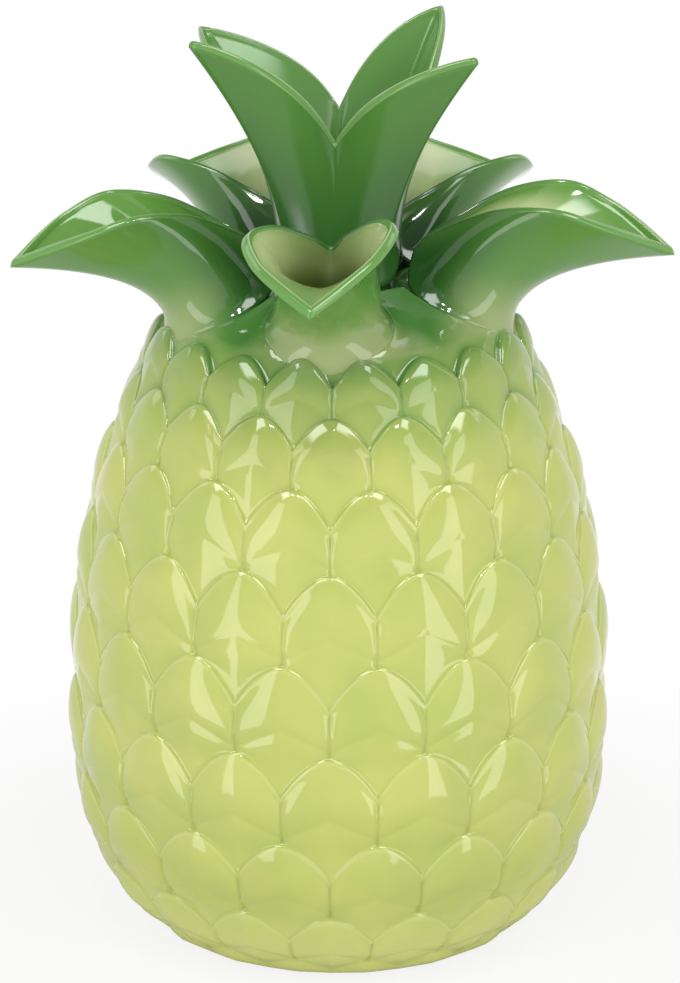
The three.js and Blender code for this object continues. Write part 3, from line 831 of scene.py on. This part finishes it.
def crown_skin(leaf, away, inner, share):
    """Radius and height of the crown's outer or inner skin at a share of its height."""
    wall = CROWN_WALL if inner else 0
    section = lip_section(LEAF_THICKNESS, pi if inner else 0)
    lip_radius, lip_height = crown_lip(leaf, away, *section)
    keel = 0.5 + 0.5 * cos(pi * away)
    radius = CROWN_RADIUS - wall
    bottom = DECK_TOP - ROOT_SINK
    waist = bottom + (TUBE_SHARE + KEEL_STRAIGHT * keel) * (LEAF_RISE + leaf[2] + ROOT_SINK)
    swell = radius + (lip_radius - radius) * (LEAF_SWELL + KEEL_LEAN * keel)
    return (
        bezier(radius, radius + KEEL_SWELL * keel, swell, lip_radius, share),
        bezier(bottom, waist, (waist + lip_height) / 2, lip_height, share),
    )


def crown_place(column, ring):
    """A corner of the crown, with its tones."""
    leaf, away, angle = crown_column(column)
    kind, value = sock_ring(ring)
    if kind == "lip":
        radius, z = crown_lip(leaf, away, *lip_section(LEAF_THICKNESS, value))
        return polar(radius, angle, z), (value / pi, 1, 1, away)
    radius, z = crown_skin(leaf, away, kind == "inner", value)
    return polar(radius, angle, z), (1 if kind == "inner" else 0, value, 0, away)


CROWN_COLUMNS = LEAF_COLUMNS * len(LEAVES)
CROWN_TONES = ("inside", "along", "rim", "away", "joint", "valley_shade_and_spray")
crown = wrapped_grid(CROWN_COLUMNS, SOCK_RINGS, crown_place, CROWN_TONES)


def crown_plug():
    """The crown's outer skin, drawn in and carried on below the deck."""
    def place(column, ring):
        leaf, away, angle = crown_column(column)
        radius, z = crown_skin(leaf, away, False, max(ring - 1, 0) / SKIN_RINGS)
        if ring == 0:
            return polar(radius * PLUG_TAPER, angle, z - PLUG_DEPTH), ()
        return polar(radius, angle, z), ()

    return wrapped_grid(CROWN_COLUMNS, SKIN_RINGS + 1, place, ())


# It is deep green at its foot, in the creases between the leaves and deep inside, which is painted
# shade, and lighter towards the tips. Its glaze came out a little less glassy, which softens the
# lamps in it
CROWN_ROUGHNESS = 0.2


def crown_colour(tree, place):
    """Outside, inside and lip, with painted shade, and a painted highlight on the crest."""
    # inside: darker down the tube, as painted shade
    inner = coated(tree, "#42702f", ("#69a04c", ("along", 0.2, 0.9)))
    return coated(
        tree,
        # outside: painted shade makes the foot and the creases between the leaves deep green,
        # lighter towards the tips
        "#336028",
        ("#588e3d", ("along", 0.1, 0.95)),
        ("#35662a", ("away", 0.4, 1, 0, 0.5)),
        (inner, ("inside", 0.4, 0.9)),
        ("#7dab57", ("rim", 0.3, 1, 0, 0.5)),
        # painted highlight along the lip's crest
        ("#c6dfa8", *CREST_HIGHLIGHT, 0.6),
    )


crown_glaze = fired_glaze("deep leaf-green glaze", crown_colour, CROWN_ROUGHNESS)


# Joints: slip brushed into the corners between fruit, spouts and crown fills them with smooth
# fillets, so that all seven castings look like one.
FILLET = 4
FILLET_REACH = 24  # places of the fruit further from any root are left alone
JOINT_TOP = 268
JOINT_BOTTOM = TIP_HEIGHTS[3]
JOINT_FADE = 12
JOINT_STEP = 0.5
JOINT_MOST = 16  # steps
JOINT_OVERLAP = 0.5
JOINT_SINK = -1.5
JOINT_PASSES = 3
VALLEY_SHADE_REACH = 14


def depths(point, others):
    """How far a point is outside each of the other skins; less than 0 inside."""
    found = []
    for tree in others:
        spot, facing, _, distance = tree.find_nearest(point)
        found.append(distance if (point - spot).dot(facing) > 0 else -distance)
    return found


def fill_joints(skin, fruit_tree, others):
    """Moves a skin out to where it meets the others smoothly, and down once they take over."""
    skin.normal_update()
    joint = skin.verts.layers.float["joint"]
    valley_shade_and_spray = skin.verts.layers.float["valley_shade_and_spray"]
    inside = skin.verts.layers.float.get("inside")
    meeting = FILLET * log(2)
    moves = {}
    for vert in skin.verts:
        if vert.co.z < JOINT_BOTTOM or (inside and vert[inside] > 0):
            continue
        near = sorted(depths(vert.co, others))
        # painted shade: the nearer the other parts, the darker the green between them
        shares = [exp(-max(d, 0) / VALLEY_SHADE_REACH) for d in near]
        vert[valley_shade_and_spray] = min(sum(shares if fruit_tree else shares[1:]), 1)
        if vert.co.z > JOINT_TOP or near[0] > FILLET_REACH and not fruit_tree:
            continue
        around = others + ([fruit_tree] if fruit_tree else [])
        fill = JOINT_MOST * JOINT_STEP
        before = 1
        for step in range(1, JOINT_MOST):
            lift = step * JOINT_STEP
            outside = depths(vert.co + vert.normal * lift, around)
            total = exp(-lift / FILLET) + sum(exp(-d / FILLET) for d in outside) - 1
            if total < 0:
                fill = lift - JOINT_STEP * total / (total - before)
                break
            before = total
        fill *= smooth((JOINT_TOP - vert.co.z) / JOINT_FADE)
        vert[joint] = min(fill / meeting, 1)
        over = fill - meeting - JOINT_OVERLAP
        moves[vert] = fill if over < 0 else max(meeting + JOINT_OVERLAP - 2 * over, JOINT_SINK)
    for _ in range(JOINT_PASSES):
        calm = {}
        for vert, move in moves.items():
            ends = [moves.get(edge.other_vert(vert), 0) for edge in vert.link_edges]
            calm[vert] = (move + sum(ends) / len(ends)) / 2
        moves = calm
    for vert, move in moves.items():
        vert.co += vert.normal * move


skins = {"fruit": fruit, "crown": crown, **spouts}
plugs = {name: spout_plug(SPOUTS[name], spout_headings[name]) for name in SPOUTS}
plugs["crown"] = crown_plug()
trees = {name: BVHTree.FromBMesh(plug) for name, plug in plugs.items()}
fruit_tree = BVHTree.FromBMesh(fruit)
for name, skin in skins.items():
    others = [tree for other, tree in trees.items() if other != name]
    fill_joints(skin, None if name == "fruit" else fruit_tree, others)
for plug in plugs.values():
    plug.free()


# Scales: their relief, cast with the fruit, goes on after the joints are filled, so that the top
# row's tips stand clear of the slip round the spouts' roots.
fruit.normal_update()
relief = fruit.verts.layers.float["relief"]
for vert, normal in [(v, v.normal.copy()) for v in fruit.verts]:
    vert.co += normal * vert[relief]


# Hollow: the fruit's inside wall, left where the slip was poured out of the mould again, and the
# holes cut through the deck below the crown and the spouts before these are luted on.
BODY_WALL = 5
FLOOR_THICKNESS = 6
CAVITY_RINGS = 6
SPOUT_PORT = 11.5
PORT_MARGIN = 2  # how far outside its radius a hole's ragged edge may reach


def cavity_place(column, ring):
    """A corner of the fruit's inside wall, from the crown's hole down to the floor's middle."""
    angle = column_angle(column)
    shoulder = fruit_radius(SHOULDER_HEIGHT - BODY_WALL) - BODY_WALL
    deck_rings = DECK_RINGS // 2
    if ring < deck_rings:
        radius = CROWN_PORT + (shoulder - CROWN_PORT) * ring / deck_rings
        return polar(radius, angle, deck_height(radius * SHOULDER_RADIUS / shoulder) - BODY_WALL), ()
    share = (ring - deck_rings) / CAVITY_RINGS
    if share > 1:
        return Vector((0, 0, FLOOR_THICKNESS)), ()
    z = SHOULDER_HEIGHT - BODY_WALL - share * (SHOULDER_HEIGHT - BODY_WALL - FLOOR_THICKNESS)
    return polar(fruit_radius(z) - BODY_WALL, angle, z), ()


cavity = wrapped_grid(FRUIT_COLUMNS, DECK_RINGS // 2 + CAVITY_RINGS + 1, cavity_place, ())
mesh = bpy.data.meshes.new("cavity")
cavity.to_mesh(mesh)
cavity.free()
fruit.from_mesh(mesh)
bpy.data.meshes.remove(mesh)


def port_edges(centre, radius):
    """Open edges of the fruit round a port, on the deck's outer and inner side."""
    reach = radius + PORT_MARGIN
    return [
        edge for edge in fruit.edges
        if edge.is_boundary and max((v.co.xy - centre).length for v in edge.verts) < reach
    ]


for name, heading in spout_headings.items():
    centre = polar(NECK_CENTRE, heading, 0).xy
    cut = [
        face for face in fruit.faces
        if face.calc_center_median().z > SHOULDER_HEIGHT / 2
        and (face.calc_center_median().xy - centre).length < SPOUT_PORT
    ]
    bmesh.ops.delete(fruit, geom=cut, context="FACES")
    edges = port_edges(centre, SPOUT_PORT)
    for vert in {vert for edge in edges for vert in edge.verts}:
        offset = (vert.co.xy - centre).normalized() * SPOUT_PORT
        vert.co.x, vert.co.y = centre + offset
    bmesh.ops.bridge_loops(fruit, edges=edges)
bmesh.ops.bridge_loops(fruit, edges=port_edges(Vector((0, 0)), CROWN_PORT))


# Firing: all seven castings are glazed and fired as one rigid piece of pottery. The fruit's skin
# stands for both of its CAD nodes, because no joint shows between them.
def finish_piece(name, skin, material, nodes):
    """Makes a glazed skin a smooth piece of the vase that stands for its CAD nodes."""
    bmesh.ops.recalc_face_normals(skin, faces=skin.faces)
    bmesh.ops.scale(skin, vec=(MM, MM, MM), verts=skin.verts)
    for face in skin.faces:
        face.smooth = True
    mesh = bpy.data.meshes.new(name)
    skin.to_mesh(mesh)
    skin.free()
    mesh.materials.append(material)
    piece = bpy.data.objects.new(name, mesh)
    bpy.context.scene.collection.objects.link(piece)
    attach(piece, "root")
    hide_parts(*nodes)


finish_piece("glazed_fruit", fruit, fruit_glaze, ["fruit_body", "deck"])
for name, skin in spouts.items():
    finish_piece(f"glazed_spout_{name}", skin, leaf_glaze, [f"spout_{name}"])
finish_piece("glazed_crown", crown, crown_glaze, ["leaf_crown"])
